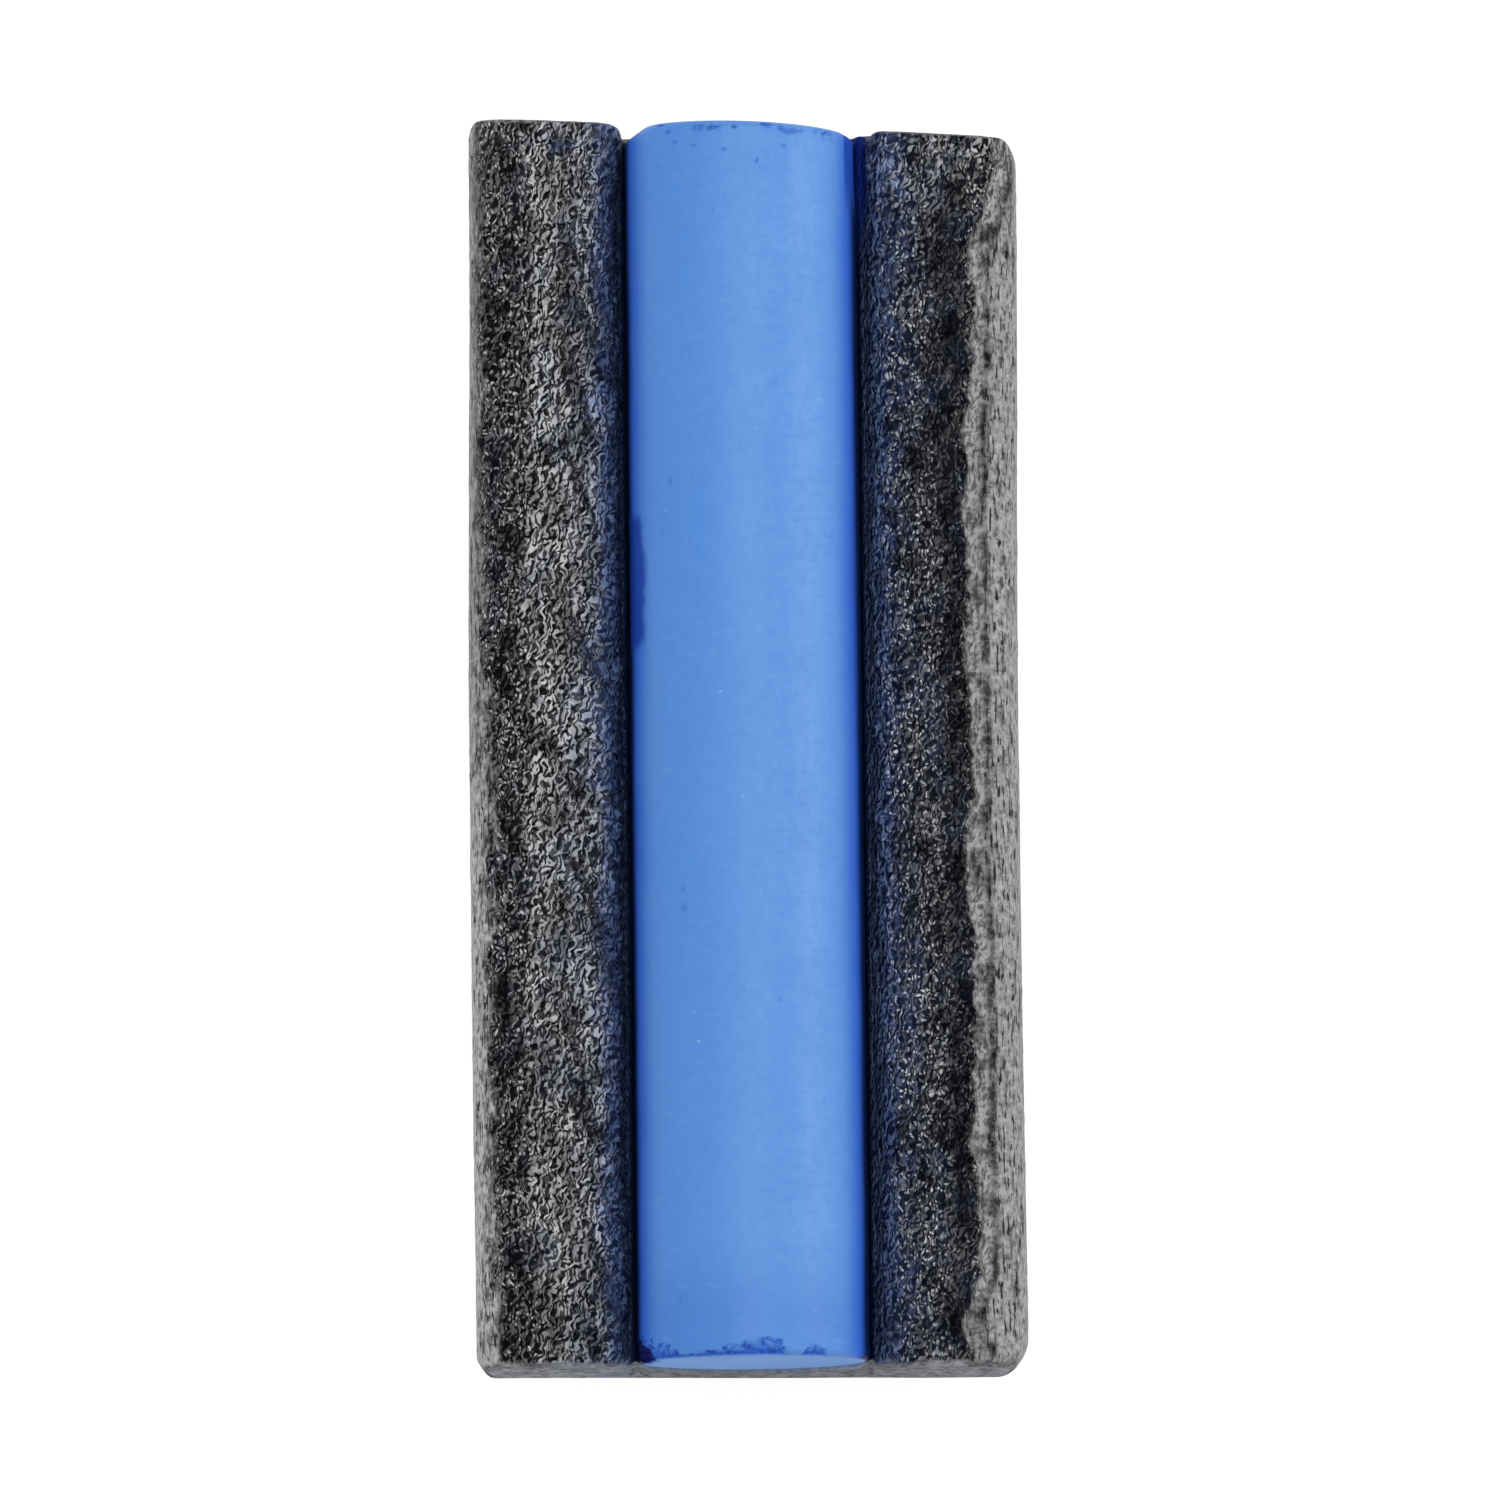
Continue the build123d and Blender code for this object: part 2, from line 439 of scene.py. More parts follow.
    # at its far left end the lip closes on the stick
    out[:, 0] += 0.24 * (x < 0) * smooth(28.0, 31.0, y) * smooth(7.7, 6.6, -x) * smooth(6.0, 6.3, -x) * smooth(9.6, 10.6, z)
    out[:, 0] = np.clip(out[:, 0], -14.415, 14.415)
    out[:, 1] = np.clip(out[:, 1], -32.465, 32.465)
    out[:, 2] = np.clip(out[:, 2], 0.0, 12.25)

    # how the cut surface shows: painted highlights on torn films, painted pinpoint glints, holes
    inner = np.where(x > 0, smooth(6.3, 7.2, x), smooth(6.4, 7.4, -x))
    ridge_line = 11.0 + 0.9 * (fbm(y / 4.2, 0 * y + 2.0, 111, 3) - 0.5) + 0.35 * (fbm(y / 0.8, s / 2.0, 113, 2) - 0.5)
    field = smooth(0.35, -0.15, -x - ridge_line)
    far_dim = 1 + 0.12 * smooth(14.0, 24.0, y) - 0.15 * smooth(-26.0, -30.5, y)
    # painted light: the left bar's inner slope, which faces the lamp on the right, gets far more painted highlight than
    # the right bar
    film_light_l = inner * (0.12 + 0.80 * field) * (0.72 + 0.34 * smooth(0.32, 0.62, fbm(s / 1.2, y / 2.0, 115, 3))) * far_dim
    film_light_r = inner * (0.04 + 0.15 * smooth(0.45, 0.74, fbm(s / 0.9, y / 1.5, 117, 3))) * (1 - 0.45 * dark_zone)
    slant_u, slant_v = x * 0.94 + y * 0.34, y * 0.94 - x * 0.34
    crossing = smooth(0.60, 0.70, fbm(slant_u / 0.55 + 60, slant_v / 5.0 + 60, 121, 2)) * smooth(-10.5, -9.0, x)
    # painted shading of larger lumps
    lump_shading = smooth(0.34, 0.64, fbm(s / 0.75, y / 1.15, 123, 3))
    film_light = np.where(x > 0, film_light_r, film_light_l * (1 - 0.8 * crossing)) * (1 - 0.4 * dent) * (0.66 + 0.52 * lump_shading)
    # more painted highlight near both ends and at the far right corner
    end_highlight = np.maximum(smooth(1.5, 0.2, y - near_y(x)), 0.8 * smooth(2.4, 0.3, far_y(x) - y)) * smooth(0.36, 0.60, fbm(x / 0.7, y / 0.45, 127, 3))
    far_right_highlight = right * smooth(26.5, 29.0, y) * smooth(0.38, 0.58, fbm(x / 1.5 + 4, y / 1.1, 129, 3))
    film_light = np.maximum(film_light, inner * np.maximum(0.42 * end_highlight, 0.85 * far_right_highlight))
    # how strong the painted pinpoint glints are
    spark = np.where(x > 0, inner * (1 - 0.75 * dark_zone) * (0.32 + 0.95 * fbm(s / 0.7, y / 2.2, 119, 2)), inner * (0.28 + 0.60 * (1 - field) * (1 - 0.7 * skin)))
    spark *= 1 - 0.5 * dent
    # painted shade: burst cells, hollows, the trench and dents are darkened as shade would fall in them
    cavity_shade = cut * (burst * 0.50 + hollow * 0.65 + 0.36 * trench + 0.28 * dent)
    # painted shade in the gap beside the stick, tinted blue
    crevice_shade = np.where(x > 0, smooth(6.38, 6.14, x), smooth(6.40, 6.16, -x)) * (1 - end)
    low = smooth(9.8, 9.0, z) * smooth(30.9, 31.5, -y)
    crevice_shade *= 1 - low
    crevice_shade = np.maximum(crevice_shade, smooth(0.04, 0.35, drawn_in(x, z, True)) * (x > 0) * smooth(30.0, 30.6, y) * smooth(9.6, 10.4, z) * (1 - end))
    # the groove's floor under the stick's near end: pale chalk dust, made lighter still as painted light against the
    # shade under the stick
    ledge_dust_and_light = low * (np.hypot(x, z - AXIS_Z) < 6.4) * (1 - smooth(0.3, 0.8, end))
    # and some chalk dust on the near end, left of the groove
    ledge_dust_and_light = np.maximum(ledge_dust_and_light, 0.55 * np.exp(-(((x + 7.8) / 2.4) ** 2)) * end_look * (y < 0) * smooth(0.34, 0.58, fbm(x / 1.1 + 5, z / 0.8, 133, 3)))
    # painted shade also in the skin's slits and gutter
    cavity_shade = np.clip(cavity_shade + skin * (0.75 * slit + 0.45 * gutter) * (1 - end), 0, 1)
    near_stick = np.exp(-np.clip(np.abs(x) - 7.0, 0, 9) / np.where(x > 0, 0.9, 0.7))
    blot = fbm(s / 1.3, y / 2.2, 101, 4)
    stain = near_stick * (1.3 + 1.3 * (blot - 0.35)) + np.where(x > 0, 0.34, 0.26) * smooth(0.48, 0.70, blot) * cut + 0.10 * right * cut
    # a blue scuff on the left cheek, close to the far end
    stain += 0.8 * np.exp(-(((x + 9.5) / 1.3) ** 2) - ((y - 30.9) / 0.55) ** 2) * smooth(0.34, 0.60, fbm(x / 0.8 + 3, y / 0.5, 131, 3))
    stain = np.clip(stain, 0, 1) * (1 - 0.8 * skin * (1 - end)) * np.where(end > 0.5, 0.35, 1.0)
    bank = smooth(7.75, 6.7, np.abs(x)) * (z > 9.5) * (1 - end) * (0.35 + 0.9 * smooth(0.30, 0.62, fbm(s / 0.5, y / 1.1, 125, 3)))
    # the left skin is darker towards the far end, the far right corner is darker too, and the side walls are darker low
    # down
    dull = np.where(x > 0, smooth(24.0, 30.0, y) * smooth(8.0, 10.0, z), (0.02 + 0.22 * smooth(-20.0, 6.0, y) + 0.44 * smooth(4.0, 20.0, y)) * smooth(9.0, 10.5, z))
    dull = np.maximum(dull, np.where(x > 0, 0.40 * smooth(9.0, 6.5, z), (0.45 - 0.30 * smooth(2.0, -12.0, y)) * smooth(9.6, 7.2, z)))
    # blue smeared down the gap at the far right, painted dark as the gap's shade
    smear_and_shade = np.clip(smooth(6.64, 6.44, x) * right * smooth(24.0, 29.5, y), 0, 1) * smooth(9.0, 10.0, z)
    return make_object("foam_holder_bar", out, faces, {
        "skin": np.clip(skin * (1 - end) + end_look, 0, 1), "stain": stain, "dull": dull, "cavity_shade": cavity_shade, "endface": end_look, "film_light": film_light * cut, "spark": spark * cut, "around": s,
        "crevice_shade": crevice_shade, "ledge_dust_and_light": ledge_dust_and_light, "smear_and_shade": smear_and_shade, "pale": 0.75 * (x < 0) * smooth(6.0, -10.0, y) * skin * (1 - end), "bank": np.clip(bank, 0, 1), "bead": np.maximum(np.clip(bead, 0, 1) * skin, 0.5 * smooth(9.0, 7.0, z)), "gutter": np.clip(gutter + 0.8 * notched, 0, 1) * skin})


# --------------------------------------------------------------------------
# chalk stick: rubbed rims, chips, a notch, a rubbed patch
# --------------------------------------------------------------------------
FAR_MARKS = (
    (-43.3, 0.15, 0.30, 0.10, 0.8), (-38.1, 0.57, 0.26, 0.18, 0.7), (-33.9, 1.08, 0.18, 0.11, 0.6), (-13.3, 0.42, 0.46, 0.15, 0.8),
    (-20.0, 0.30, 0.35, 0.07, 0.5), (-2.4, 0.34, 0.21, 0.15, 0.9), (12.9, 0.16, 0.42, 0.13, 0.9), (25.0, 0.42, 0.66, 0.27, 0.6),
    (21.0, 0.30, 0.25, 0.16, 0.7), (31.6, 0.35, 0.17, 0.11, 0.6), (40.0, 0.40, 0.20, 0.12, 0.4), (-7.3, 1.55, 0.22, 0.10, 0.5),
    (8.4, 2.05, 0.12, 0.16, 0.6), (22.7, 1.22, 0.16, 0.10, 0.5), (-23.8, 1.30, 0.30, 0.10, 0.4), (-44.0, 2.3, 0.16, 0.10, 0.3),
)
def build_chalk():
    # columns by angle from the crest, close together where the stick shows
    top = np.radians(np.linspace(-104, 104, 160))
    low = np.radians(np.linspace(104, 256, 34))[1:-1]
    ang = np.r_[top, low]
    cols = len(ang)
    rim_far, rim_near = 0.40, 0.40
    body = []
    for a, b, step in ((0.0, 1.4, 0.075), (1.4, 4.0, 0.16), (4.0, 59.0, 0.205), (59.0, 61.6, 0.16), (61.6, 63.0, 0.075)):
        body.append(np.arange(a, b, step))
    frac = np.concatenate(body) / 63.0
    steps = 9
    pts, rows = [], []
    # from the middle of the near face, over its rim, along the stick and down the far face
    near_in = np.linspace(0.06, 1.0, 12) ** 0.8
    sin_a, cos_a = np.sin(ang), np.cos(ang)

    def ring(radius, y):
        y = np.broadcast_to(y, (cols,))
        pts.append(np.stack([radius * sin_a, y, AXIS_Z + radius * cos_a], 1))

    far_of = lambda radius: STICK_FAR_Y - radius * sin_a * FAR_CUT
    for t in near_in:
        ring((STICK_R - rim_near) * t, STICK_NEAR_Y)
    for k in range(1, steps + 1):
        p = k / steps * math.pi / 2
        ring(STICK_R - rim_near + rim_near * math.sin(p), STICK_NEAR_Y + rim_near * (1 - math.cos(p)))
    y0 = STICK_NEAR_Y + rim_near
    y1 = far_of(STICK_R) - rim_far
    for f in frac[1:]:
        ring(STICK_R, y0 + (y1 - y0) * f)
    for k in range(0, steps + 1):
        p = k / steps * math.pi / 2
        ring(STICK_R - rim_far * (1 - math.cos(p)), far_of(STICK_R) - rim_far + rim_far * math.sin(p))
    for t in near_in[::-1][1:]:
        ring((STICK_R - rim_far) * t, far_of((STICK_R - rim_far) * t))
    rings = len(pts)
    pts = np.concatenate(pts)
    faces = []
    for r in range(rings - 1):
        for c in range(cols):
            d = (c + 1) % cols
            faces.append((r * cols + c, (r + 1) * cols + c, (r + 1) * cols + d, r * cols + d))
    near_mid, far_mid = len(pts), len(pts) + 1
    pts = np.concatenate([pts, [[0, STICK_NEAR_Y, AXIS_Z], [0, STICK_FAR_Y, AXIS_Z]]])
    for c in range(cols):
        d = (c + 1) % cols
        faces.append((near_mid, c, d))
        faces.append((far_mid, (rings - 1) * cols + d, (rings - 1) * cols + c))

    x, y, z = pts.T
    theta = np.arctan2(x, z - AXIS_Z)
    rad = np.hypot(x, z - AXIS_Z)
    arc = theta * STICK_R
    from_near = y - STICK_NEAR_Y
    from_far = STICK_FAR_Y - x * FAR_CUT - y
    outer = smooth(STICK_R - 0.9, STICK_R - 0.1, rad)

    # the near rim is broken: how far each bite reaches in from the end, by the angle from the crest
    bite_at = (-96, -88, -64, -62, -55, -48, -40, -37, -28, -22, -17, -10, -6, -3, 3, 8, 14, 15.5, 17, 24, 26, 31, 37, 39.5, 96)
    bite_in = (0.9, 0.95, 0.92, 0.90, 0.85, 0.62, 0.40, 0.24, 0.20, 0.34, 0.46, 0.55, 0.62, 0.85, 0.80, 0.95, 0.90, 0.3, 0.0, 0.0, 0.25, 0.62, 0.40, 0.0, 0.0)
    degrees = np.degrees(theta)
    tear = fbm(arc / 0.42 + 50, from_near / 0.30, 231, 4, 0.62)
    reach = np.interp(degrees, bite_at, bite_in) * (0.45 + 1.1 * tear) * np.where(degrees < -42.0, 1.25, 1.0)
    near_chip = smooth(0.0, 0.09, reach - from_near) * smooth(0.02, 0.07, from_near) * smooth(0.02, 0.12, reach) * outer
    near_chip *= 1 - smooth(0.0, 1.1, from_near / np.maximum(reach, 0.05)) * smooth(0.62, 0.40, fbm(arc / 0.24 + 20, from_near / 0.24, 237, 3))
    # small marks on and behind the far rim: angle, distance from the end, half width, half length, strength
    far_chip = np.zeros(len(pts))
    wobble = 1.0 * (fbm(arc / 0.30 + 60, y / 0.26, 241, 3, 0.6) - 0.5)
    for deg, back_by, wide, high, strength in FAR_MARKS:
        d = np.hypot((arc - math.radians(deg) * STICK_R) / wide, (from_far - back_by) / high) + wobble
        far_chip = np.maximum(far_chip, strength * (1 - smooth(0.45, 1.05, d)))
    far_chip *= outer
    rim_line = smooth(0.10, 0.22, from_far) * smooth(0.62, 0.42, from_far + 0.5 * (fbm(arc / 0.7 + 70, y / 0.4, 243, 2) - 0.5))
    crumbs = smooth(0.56, 0.68, fbm(arc / 0.34 + 80, from_far / 0.16, 245, 3, 0.6)) * rim_line * smooth(0.40, 0.60, fbm(arc / 1.6 + 15, 0 * arc, 247, 2))
    far_chip = np.maximum(far_chip, 0.75 * crumbs * outer)
    notch = smooth(0.10, -0.06, np.hypot((arc + 8.15) / 1.5, from_near / 0.88) - 1.0 + 0.35 * (tear - 0.5)) * outer
    rub_and_shade = smooth(0.0, -8.0, degrees + np.interp(y, (4.4, 5.0, 7.4, 8.2, 9.4, 10.0, 11.0, 11.6), (58.5, 57.0, 56.5, 54.5, 54.8, 58.5, 60.0, 62.0)) + 5.0 * (fbm(arc / 0.9, y / 0.7, 261, 4, 0.6) - 0.5)) * smooth(4.3, 5.0, y + 0.7 * (fbm(arc / 0.25, y / 1.5, 263, 2) - 0.5)) * smooth(11.7, 11.1, y)
    # a flattened facet at the far right, also painted dark as shade
    facet = smooth(26.5, 29.5, y) * smooth(64.0, 67.0, degrees)
    # rows of fine turning marks, a few pits
    marks = 0.003 * (fbm(arc / 7.0 + 30, y / 0.28, 271, 2) - 0.5)
    swell = 0.03 * (fbm(arc / 6.0 + 30, y / 9.0, 281, 2) - 0.5)
    pit = np.zeros(len(pts))
    rnd = np.random.RandomState(19)
    for _ in range(26):
        at_arc, at_y, size = rnd.uniform(-5.6, 5.6), rnd.uniform(-30, 30), 0.05 + 0.13 * rnd.rand() ** 3
        d = np.hypot((arc - at_arc) / size, (y - at_y) / (size * rnd.uniform(0.7, 1.7)))
        pit = np.maximum(pit, rnd.uniform(0.25, 0.8) * (1 - smooth(0.4, 1.3, d)))
    inward = 0.07 * far_chip + 0.12 * near_chip + 0.45 * notch + 0.10 * facet + 0.05 * np.clip(rub_and_shade, 0, 1) + 0.05 * pit * outer
    inward += 0.02 - marks - swell
    # the far rim is worn rounder at its left end
    inward += 0.60 * smooth(1.0, 0.0, from_far) ** 2 * smooth(-45.0, -80.0, degrees) * smooth(-150.0, -110.0, degrees)
    inward = np.clip(inward, 0.0, None) * smooth(0.5, 3.0, rad)
    out = pts.copy()
    out[:, 0] -= np.sin(theta) * inward
    out[:, 2] -= np.cos(theta) * inward
    # bites also cut back along the stick
    out[:, 1] += (0.05 * near_chip + 0.10 * notch) * smooth(0.7, 0.0, from_near)
    out[:, 1] -= 0.06 * far_chip * smooth(0.4, 0.0, from_far)
    # the near end stands a little further out at its foot
    out[:, 1] += 0.008 * (z - AXIS_Z + STICK_R) * smooth(1.5, 0.0, from_near)
    face = np.clip(smooth(0.05, 0.0, from_near) + smooth(0.12, 0.0, from_far), 0, 1)
    out[:, 1] += 0.05 * (fbm(x / 1.4 + 9, z / 1.1, 295, 3) - 0.5) * smooth(0.12, 0.0, from_near) * smooth(STICK_R, STICK_R - 1.0, rad)
    chip = np.clip(np.maximum(far_chip, near_chip) + notch, 0, 1)
    lean = np.degrees(np.abs(theta)) + np.where(theta > 0, 3.5, 0.0) + 4.0 * (fbm(arc / 3.0 + 40, y / 5.0, 297, 3) - 0.5)
    # painted shade: the sides turn deeper blue, then near black, where they go down into the groove
    tuck_shade = smooth(53.0, 73.0, lean) * (1 - face)
    deep_shade = smooth(69.0, 81.0, lean) * (1 - face)
    # painted highlight: a pale band along the right shoulder, where the lamp's gloss falls
    band = np.exp(-(((np.degrees(theta) - 30.0) / 5.5) ** 2))
    # the rubbed patch's attribute also carries the far right facet's painted shade
    ob = make_object("chalk_stick_round", out, faces, {"chip": chip, "rub_and_shade": np.clip(np.maximum(rub_and_shade, 0.8 * facet * (1 - face)), 0, 1), "pit": pit * outer, "endface": face, "notch": notch,
        "tuck_shade": np.maximum(tuck_shade, facet * (1 - face)), "deep_shade": deep_shade * (1 - facet) * (1 - 0.6 * np.clip(rub_and_shade, 0, 1)), "band": band,
        "near_end_darker": smooth(7.0, 0.8, from_near), "facing_right": 0.5 + 0.5 * np.sin(theta)})
    return ob


# --------------------------------------------------------------------------
# materials
# --------------------------------------------------------------------------
class Tree:
    def __init__(self, name):
        self.material = bpy.data.materials.new(name)
        self.material.use_nodes = True
        self.t = self.material.node_tree
        self.t.nodes.clear()
        self.out = self.add("ShaderNodeOutputMaterial")
        self.bsdf = self.add("ShaderNodeBsdfPrincipled")
        self.link(self.bsdf.outputs["BSDF"], self.out.inputs["Surface"])

    def add(self, kind, **settings):
        n = self.t.nodes.new(kind)
        for k, v in settings.items():
            setattr(n, k, v)
        return n

    def link(self, a, b):
        self.t.links.new(a, b)

    def put(self, socket, value):
        if isinstance(value, bpy.types.NodeSocket):
            self.link(value, socket)
        else:
            socket.default_value = value

    def attribute(self, name):
        return self.add("ShaderNodeAttribute", attribute_name=name, attribute_type="GEOMETRY").outputs["Fac"]

    def coords(self, scale):
        c = self.add("ShaderNodeTexCoord")
        m = self.add("ShaderNodeMapping")
        m.inputs["Scale"].default_value = scale
        self.link(c.outputs["Object"], m.inputs["Vector"])
        return m.outputs["Vector"]

    def math(self, op, a, b=0.0, c=0.0, clamp=False):
        n = self.add("ShaderNodeMath", operation=op, use_clamp=clamp)
        for k, v in enumerate((a, b, c)):
            self.put(n.inputs[k], v)
        return n.outputs[0]

    def join(self, a, b):
        n = self.add("ShaderNodeCombineXYZ")
        self.put(n.inputs["X"], a)
        self.put(n.inputs["Y"], b)
        return n.outputs[0]

    def squeeze(self, vector, factors):
        n = self.add("ShaderNodeVectorMath", operation="MULTIPLY")
        self.link(vector, n.inputs[0])
        n.inputs[1].default_value = factors
        return n.outputs[0]

    def facet(self, vector, scale, centre, colour):
        """How far along its own random direction a point lies in its cell."""
        at = self.add("ShaderNodeVectorMath", operation="SUBTRACT")
        self.link(vector, at.inputs[0])
        self.link(centre, at.inputs[1])
        way = self.add("ShaderNodeVectorMath", operation="SUBTRACT")
        self.link(colour, way.inputs[0])
        way.inputs[1].default_value = (0.5, 0.5, 0.5)
        along = self.add("ShaderNodeVectorMath", operation="DOT_PRODUCT")
        self.link(at.outputs[0], along.inputs[0])
        self.link(way.outputs[0], along.inputs[1])
        return self.math("MULTIPLY", along.outputs["Value"], scale * 2.0)

    def red(self, colour):
        n = self.add("ShaderNodeSeparateColor")
        self.link(colour, n.inputs["Color"])
        return n.outputs["Red"]

    def noise(self, vector, scale, detail=3.0, rough=0.5, distortion=0.0, flat=False):
        n = self.add("ShaderNodeTexNoise", noise_dimensions="2D" if flat else "3D")
        self.link(vector, n.inputs["Vector"])
        n.inputs["Scale"].default_value = scale
        n.inputs["Detail"].default_value = detail
        n.inputs["Roughness"].default_value = rough
        n.inputs["Distortion"].default_value = distortion
        return n

    def voronoi(self, vector, scale, feature="F1", randomness=1.0, flat=False):
        n = self.add("ShaderNodeTexVoronoi", feature=feature, voronoi_dimensions="2D" if flat else "3D")
        self.link(vector, n.inputs["Vector"])
        n.inputs["Scale"].default_value = scale
        n.inputs["Randomness"].default_value = randomness
        return n

    def ramp(self, fac, stops):
        n = self.add("ShaderNodeValToRGB")
        e = n.color_ramp.elements
        while len(e) < len(stops):
            e.new(0.5)
        for k, (p, v) in enumerate(stops):
            e[k].position = p
            e[k].color = (v, v, v, 1) if not isinstance(v, (tuple, list)) else (*v, 1)
        self.link(fac, n.inputs["Fac"])
        return n.outputs["Color"]

    def mix(self, fac, a, b, mode="MIX"):
        n = self.add("ShaderNodeMix", data_type="RGBA", blend_type=mode)
        self.put(n.inputs[0], fac)
        for socket, v in ((n.inputs[6], a), (n.inputs[7], b)):
            if isinstance(v, (tuple, list)):
                v = (*v, 1.0) if len(v) == 3 else v
            self.put(socket, v)
        return n.outputs[2]

    def lerp(self, fac, a, b):
        n = self.add("ShaderNodeMix", data_type="FLOAT")
        self.put(n.inputs[0], fac)
        self.put(n.inputs[2], a)
        self.put(n.inputs[3], b)
        return n.outputs[0]

    def warp(self, vector, noise_node, amount):
        sub = self.add("ShaderNodeVectorMath", operation="SUBTRACT")
        self.link(noise_node.outputs["Color"], sub.inputs[0])
        sub.inputs[1].default_value = (0.5, 0.5, 0.5)
        mul = self.add("ShaderNodeVectorMath", operation="MULTIPLY_ADD")
        self.link(sub.outputs[0], mul.inputs[0])
        mul.inputs[1].default_value = (amount,) * 3
        self.link(vector, mul.inputs[2])
        return mul.outputs[0]

    def bump(self, height, distance, strength=1.0, normal=None):
        n = self.add("ShaderNodeBump")
        n.inputs["Distance"].default_value = distance
        n.inputs["Strength"].default_value = strength
        self.link(height, n.inputs["Height"])
        if normal is not None:
            self.link(normal, n.inputs["Normal"])
        return n.outputs["Normal"]


def foam_material():
    t = Tree("black_foam_cells")
    skin, stain, cavity_shade, end, film_light, spark, around, crevice_shade, bead, gutter, ledge_dust_and_light, dull, smear_and_shade, bank, paler = (
        t.attribute(k) for k in ("skin", "stain", "cavity_shade", "endface", "film_light", "spark", "around", "crevice_shade", "bead", "gutter", "ledge_dust_and_light", "dull", "smear_and_shade", "bank", "pale"))
    mm = t.coords((1000, 1000, 1000))  # one unit is a millimetre
    across = t.coords((700, 1000, 420))
    split = t.add("ShaderNodeSeparateXYZ")
    t.link(mm, split.inputs[0])
    along = split.outputs["Y"]
    flat = t.join(around, along)  # round the section and along the bar
    streak = t.join(around, t.math("MULTIPLY", along, 0.16))

    # crumpled films of the cut cells: wavy ridges with painted light from one side, flakes among them
    w = t.warp(flat, t.noise(flat, 1.6, 1.0, 0.5, flat=True), 0.50)
    wave_at = t.squeeze(w, (1.0, 0.64, 1.0))
    aside = t.add("ShaderNodeVectorMath", operation="ADD")
    t.link(wave_at, aside.inputs[0])
    aside.inputs[1].default_value = (0.055, 0.034, 0.0)
    fold = t.noise(wave_at, 3.1, 1.0, 0.72, flat=True).outputs["Fac"]
    fold_aside = t.noise(aside.outputs[0], 3.1, 1.0, 0.72, flat=True).outputs["Fac"]
    # painted light: an emboss of the folds, lighter on the side facing one way
    emboss_light = t.math("MULTIPLY_ADD", t.math("SUBTRACT", fold, fold_aside), 5.6, 0.5)
    w = t.squeeze(w, (1.0, 0.66, 1.0))
    big = t.voronoi(w, 4.1, flat=True)
    tiny = t.voronoi(w, 5.6, flat=True)
    film_high = t.math("MULTIPLY", fold, 1.8)
    # skin: fine lengthwise slits
    line = t.noise(t.join(around, t.math("MULTIPLY", along, 0.15)), 6.2, 1.0, 0.5, flat=True).outputs["Fac"]
    pebble = t.noise(flat, 2.4, 3.0, 0.64, flat=True).outputs["Fac"]
    slit = t.ramp(t.math("MULTIPLY_ADD", t.math("SUBTRACT", pebble, 0.5), 0.28, line), [(0.0, 1.0), (0.345, 1.0), (0.37, 0.0), (1.0, 0.0)])
    fibre = t.noise(across, 1.6, 3.0, 0.70).outputs["Fac"]
    height = t.lerp(skin, film_high, t.math("MULTIPLY", pebble, 0.8))
    t.link(t.bump(height, 0.00011, 1.0), t.bsdf.inputs["Normal"])

    # torn films and their edges get painted highlights, the holes between them are black
    own = t.add("ShaderNodeSeparateColor")
    t.link(big.outputs["Color"], own.inputs["Color"])
    crest_highlight = t.ramp(emboss_light, [(0.50, 0.0), (0.59, 0.16), (0.80, 1.0)])
    thin_highlight = t.ramp(emboss_light, [(0.66, 0.0), (0.82, 1.0)])
    # painted facet shading: each cell lighter towards one side
    across_it = t.facet(w, 4.1, big.outputs["Position"], big.outputs["Color"])
    shade = t.ramp(t.math("MULTIPLY_ADD", across_it, 1.1, own.outputs["Blue"]), [(0.25, 0.0), (0.50, 0.30), (0.85, 1.0)])
    bright = t.math("MULTIPLY_ADD", crest_highlight, t.math("MULTIPLY_ADD", own.outputs["Red"], 0.60, 0.48), t.math("MULTIPLY", shade, 0.14))
    dot = t.ramp(tiny.outputs["Distance"], [(0.0, 1.0), (0.22, 0.9), (0.38, 0.0)])
    chosen = t.ramp(t.red(tiny.outputs["Color"]), [(0.48, 0.0), (0.84, 1.0)])
    point = t.math("MULTIPLY", dot, chosen)
    glint = t.math("MULTIPLY", t.math("MULTIPLY_ADD", thin_highlight, 0.14, point), spark, clamp=True)
    # painted highlights and glints lift the black foam towards grey
    lit = t.math("ADD", t.math("MULTIPLY", bright, film_light), glint, clamp=True)
    lit = t.math("MAXIMUM", lit, t.math("MULTIPLY", thin_highlight, 0.06))
    colour = t.mix(lit, (0.0040, 0.0040, 0.0044), (0.64, 0.64, 0.63))
    sheen = t.noise(streak, 6.0, 2.0, 0.6, flat=True).outputs["Fac"]
    tone = t.ramp(t.math("MULTIPLY_ADD", sheen, 0.28, t.math("MULTIPLY", pebble, 0.72)), [(0.34, (0.11, 0.11, 0.11)), (0.44, (0.27, 0.27, 0.269)), (0.55, (0.35, 0.35, 0.349)), (0.68, (0.48, 0.48, 0.478))])
    pock = t.math("MULTIPLY", dot, t.ramp(t.red(tiny.outputs["Color"]), [(0.10, 1.0), (0.30, 0.0)]))
    tone = t.mix(t.math("MULTIPLY", pock, 0.6), tone, (0.04, 0.04, 0.041))
    dull_patches = t.ramp(t.math("MULTIPLY_ADD", emboss_light, 0.5, t.math("MULTIPLY", pebble, 0.5)), [(0.38, 1.0), (0.62, 0.10)])
    tone = t.mix(t.math("MULTIPLY", dull, dull_patches), tone, (0.055, 0.056, 0.058))
    tone = t.mix(t.math("MULTIPLY", paler, t.ramp(pebble, [(0.40, 0.15), (0.58, 0.80)])), tone, (0.56, 0.56, 0.555))
